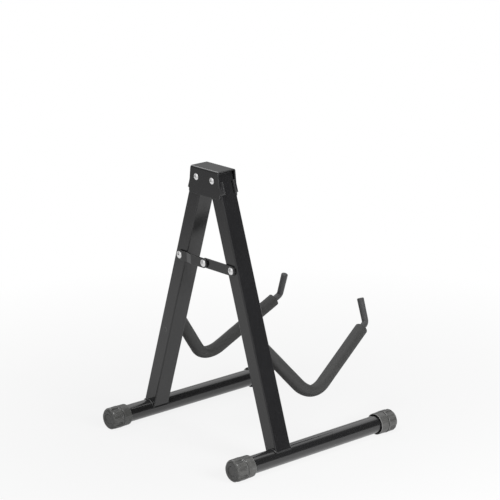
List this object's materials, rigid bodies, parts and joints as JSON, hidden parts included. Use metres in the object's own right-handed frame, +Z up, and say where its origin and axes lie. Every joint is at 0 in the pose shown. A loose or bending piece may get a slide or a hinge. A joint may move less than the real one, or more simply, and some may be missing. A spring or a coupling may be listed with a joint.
{
  "type": "a-frame guitar stand",
  "caption": "Folding A-frame instrument stand of painted steel tube: foam-covered cradle arms, capped round feet, pressed top bracket and a riveted folding spreader.",
  "frame": {"origin": "on the floor, midway between the feet and midway between the ends of the foot caps", "axes": "+Z up, +Y to the front where the cradle arms point, +X to the right leg seen from behind"},
  "size_m": [0.2752, 0.274, 0.3626],
  "materials": {
    "frame_paint": "satin",
    "foot_paint": "gloss",
    "cap_rubber": "matte",
    "sleeve_foam": "matte",
    "tip_rubber": "matte",
    "pad_rubber": "matte",
    "rivet_metal": "polished",
    "plain_steel": "zinc plated"
  },
  "bodies": {
    "bracket": {"top_bracket": "frame_paint", "back_rest_pad": "pad_rubber", "left_pivot_rivet": "rivet_metal", "right_pivot_rivet": "rivet_metal"},
    "left_leg": {"left_leg_tube": "frame_paint", "left_pivot_bush": "plain_steel", "left_foot_tube": "foot_paint", "left_rear_foot_cap": "cap_rubber", "left_front_foot_cap": "cap_rubber", "left_foot_weld": "frame_paint", "left_arm_rod": "frame_paint", "left_arm_foam": "sleeve_foam", "left_arm_tip": "tip_rubber", "left_arm_weld": "frame_paint", "left_link_rivet": "rivet_metal", "left_link_washer": "plain_steel"},
    "right_leg": {"right_leg_tube": "frame_paint", "right_pivot_bush": "plain_steel", "right_foot_tube": "foot_paint", "right_rear_foot_cap": "cap_rubber", "right_front_foot_cap": "cap_rubber", "right_foot_weld": "frame_paint", "right_arm_rod": "frame_paint", "right_arm_foam": "sleeve_foam", "right_arm_tip": "tip_rubber", "right_arm_weld": "frame_paint", "right_link_rivet": "rivet_metal", "right_link_washer": "plain_steel"},
    "left_link": {"left_brace_link": "frame_paint", "centre_rivet_head": "rivet_metal"},
    "right_link": {"right_brace_link": "frame_paint", "centre_rivet_tail": "rivet_metal"}
  },
  "joints": [
    {"name": "left_leg_fold", "type": "hinge", "parent": "bracket", "child": "left_leg", "pos_m": [-0.015, -0.0575, 0.3495], "axis": [0, -1, 0], "range_deg": [0, 17.85]},
    {"name": "right_leg_fold", "type": "hinge", "parent": "bracket", "child": "right_leg", "pos_m": [0.015, -0.0575, 0.3495], "axis": [0, 1, 0], "range_deg": [0, 17.85]},
    {"name": "left_link_fold", "type": "hinge", "parent": "left_leg", "child": "left_link", "pos_m": [-0.04995, -0.0575, 0.241], "axis": [0, -1, 0], "range_deg": [0, 54.67]},
    {"name": "right_link_fold", "type": "hinge", "parent": "right_leg", "child": "right_link", "pos_m": [0.04995, -0.0575, 0.241], "axis": [0, 1, 0], "range_deg": [0, 54.67]}
  ],
  "couplings": [
    {"joint": "right_leg_fold", "follows": "left_leg_fold", "ratio": 1},
    {"joint": "left_link_fold", "follows": "left_leg_fold", "ratio": 3.0621},
    {"joint": "right_link_fold", "follows": "left_leg_fold", "ratio": 3.0621}
  ]
}
